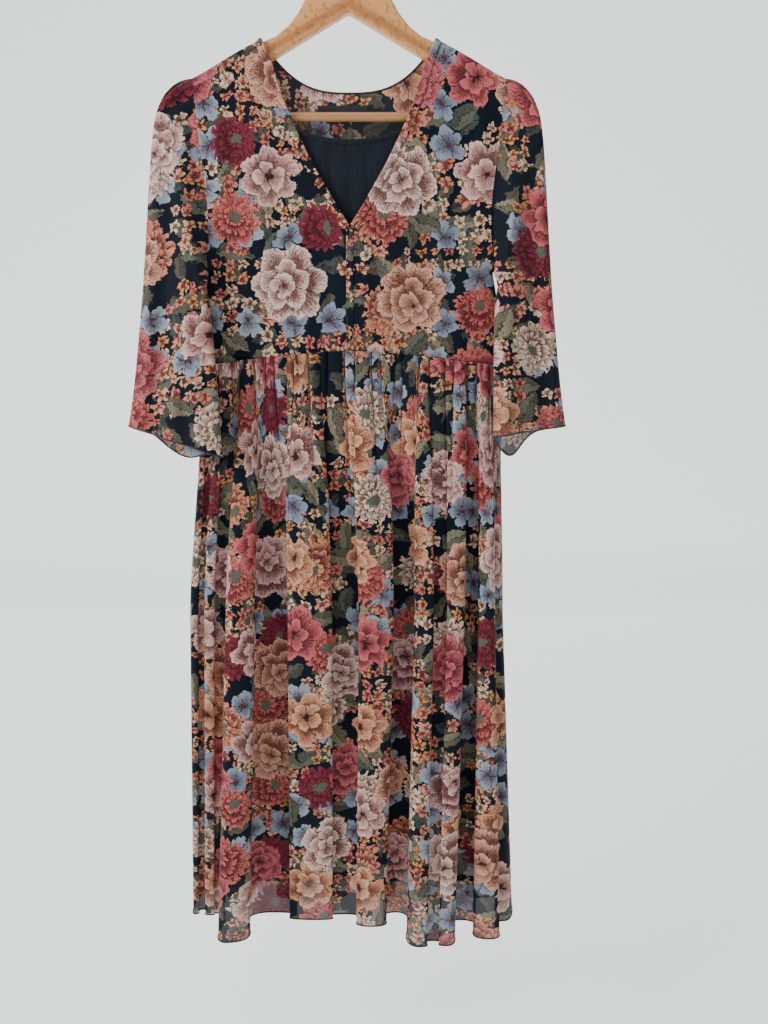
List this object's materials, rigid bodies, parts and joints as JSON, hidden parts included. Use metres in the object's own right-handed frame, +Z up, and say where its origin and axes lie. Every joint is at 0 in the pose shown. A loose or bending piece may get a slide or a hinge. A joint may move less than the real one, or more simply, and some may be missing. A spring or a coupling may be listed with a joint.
{
  "type": "chiffon dress on wooden hanger",
  "caption": "Floral chiffon midi dress with V neck, elbow-length flared sleeves, gathered skirt and dark slip, hung on a flat wooden hanger.",
  "frame": {"origin": "inside top of the hanger's hook, where a rail touches it", "axes": "+Z up along the hook's stem, +X to the wearer's left, the dress front faces -Y"},
  "size_m": [0.5652, 0.1612, 1.3281],
  "materials": {
    "chiffon": "sheer floral print",
    "slip": "matt dark lining",
    "trim": "dark woven tape",
    "wood": "clear satin lacquer",
    "hook": "plated wire"
  },
  "bodies": {
    "root": {"bodice_front_right": "chiffon", "bodice_front_left": "chiffon", "bodice_back": "chiffon", "neck_band_right": "chiffon", "neck_band_left": "chiffon", "front_placket": "chiffon", "back_neck_binding": "trim", "neck_label": "trim", "sleeve_right": "chiffon", "sleeve_left": "chiffon", "skirt_front": "chiffon", "skirt_back": "chiffon", "slip_front": "slip", "slip_back": "slip", "hanger_body": "wood", "hanger_bar": "wood", "hanger_hook": "hook"}
  },
  "joints": []
}
